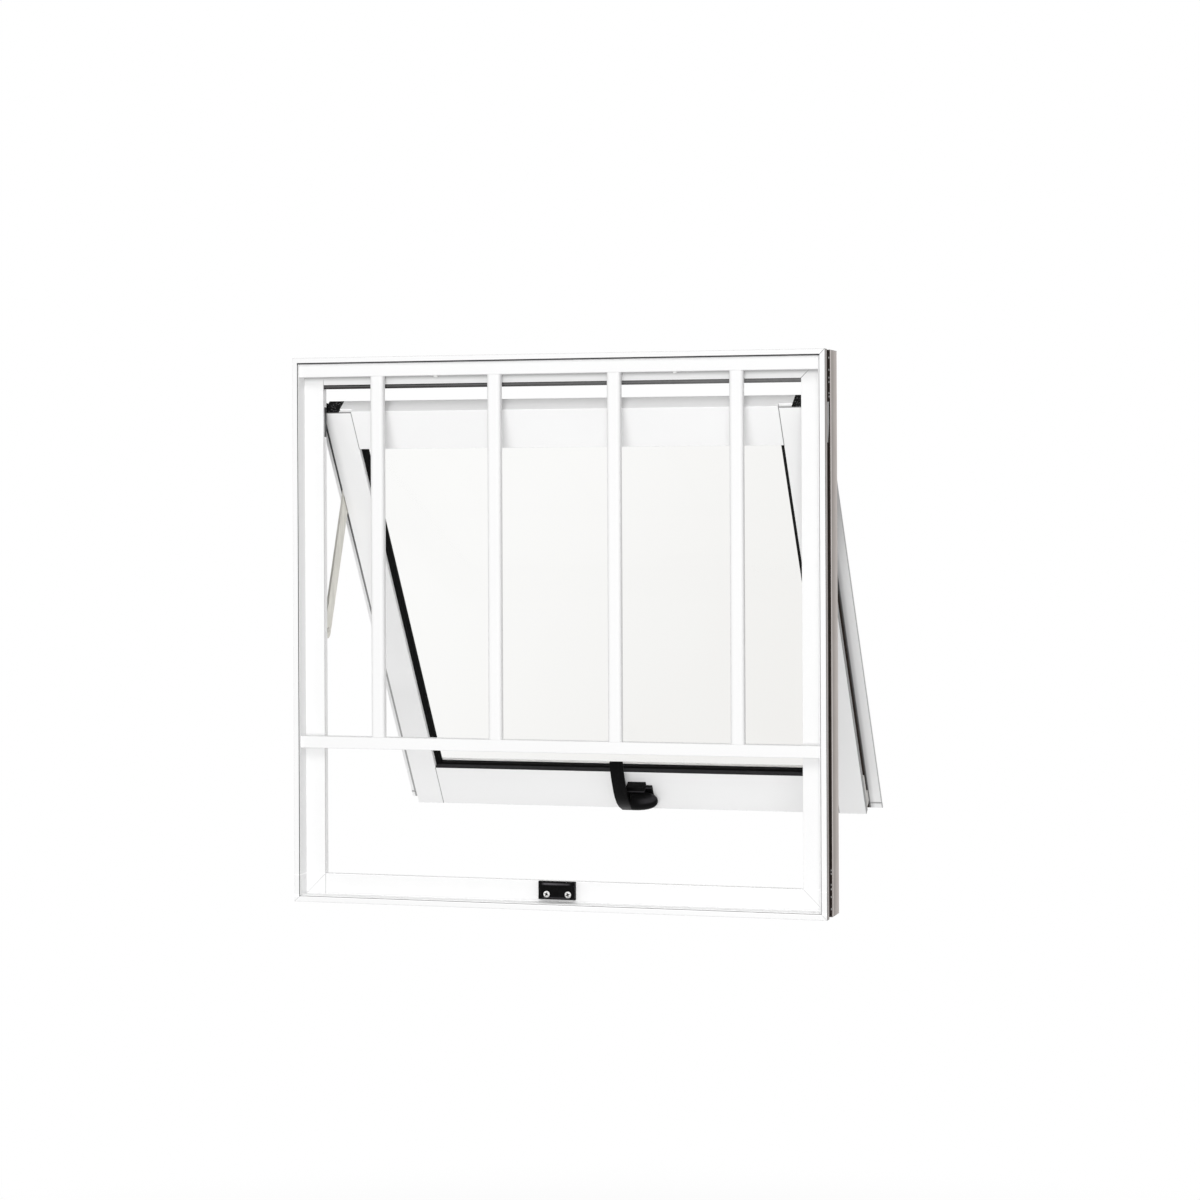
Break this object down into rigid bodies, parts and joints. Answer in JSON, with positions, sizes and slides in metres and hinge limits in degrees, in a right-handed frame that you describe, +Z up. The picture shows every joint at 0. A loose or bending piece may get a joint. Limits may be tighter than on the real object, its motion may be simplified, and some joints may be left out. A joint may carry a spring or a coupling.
{
  "type": "awning window",
  "caption": "White top-hung window with a glazed sash propped open on side stay arms, a barred grille on the room side and a black latch.",
  "frame": {"origin": "middle of the seat under the sill: half way along it, and half way across the flat band of its underside behind the anchor channel", "axes": "+Z up, +Y outdoors, the way the sash opens, +X to the right seen from the room"},
  "size_m": [0.6, 0.3587, 0.6],
  "materials": {
    "frame_white": "smooth white powder coat, semi-gloss",
    "sash_white": "smooth white powder coat, semi-gloss",
    "grille_white": "smooth white powder coat, semi-gloss",
    "cleat_metal": "plain mill finish",
    "glass": "clear float glass",
    "rubber_black": "matt black seal",
    "black_nylon": "matt moulded nylon",
    "black_plastic": "satin moulded nylon",
    "pale_nylon": "matt moulded nylon",
    "stay_steel": "plain rolled strip, slightly dull",
    "screw_steel": "bright zinc"
  },
  "bodies": {
    "root": {"corner_cleat_bottom_left": "cleat_metal", "corner_cleat_bottom_right": "cleat_metal", "corner_cleat_top_left": "cleat_metal", "corner_cleat_top_right": "cleat_metal", "frame_head": "frame_white", "frame_jamb_left": "frame_white", "frame_jamb_right": "frame_white", "frame_sill": "frame_white", "frame_weather_gasket": "rubber_black", "glass_pane": "glass", "glazing_bead_bottom": "sash_white", "glazing_bead_left": "sash_white", "glazing_bead_right": "sash_white", "glazing_bead_top": "sash_white", "glazing_gasket_inner": "rubber_black", "glazing_gasket_outer": "rubber_black", "grille_bar_1": "grille_white", "grille_bar_2": "grille_white", "grille_bar_3": "grille_white", "grille_bar_4": "grille_white", "grille_bottom_rail": "grille_white", "grille_rail_screws": "screw_steel", "grille_top_rail": "grille_white", "guide_block_left": "black_nylon", "guide_block_right": "black_nylon", "head_weather_strip": "rubber_black", "keeper_screws": "screw_steel", "latch_body": "black_plastic", "latch_keeper": "black_nylon", "latch_lever": "black_plastic", "sash_rail_bottom": "sash_white", "sash_rail_top": "sash_white", "sash_stile_left": "sash_white", "sash_stile_right": "sash_white", "stay_arm_left": "stay_steel", "stay_arm_right": "stay_steel", "stay_pivot_frame_left": "stay_steel", "stay_pivot_frame_right": "stay_steel", "stay_pivot_sash_left": "stay_steel", "stay_pivot_sash_right": "stay_steel", "stile_corner_block_left": "pale_nylon", "stile_corner_block_right": "pale_nylon"}
  },
  "joints": []
}
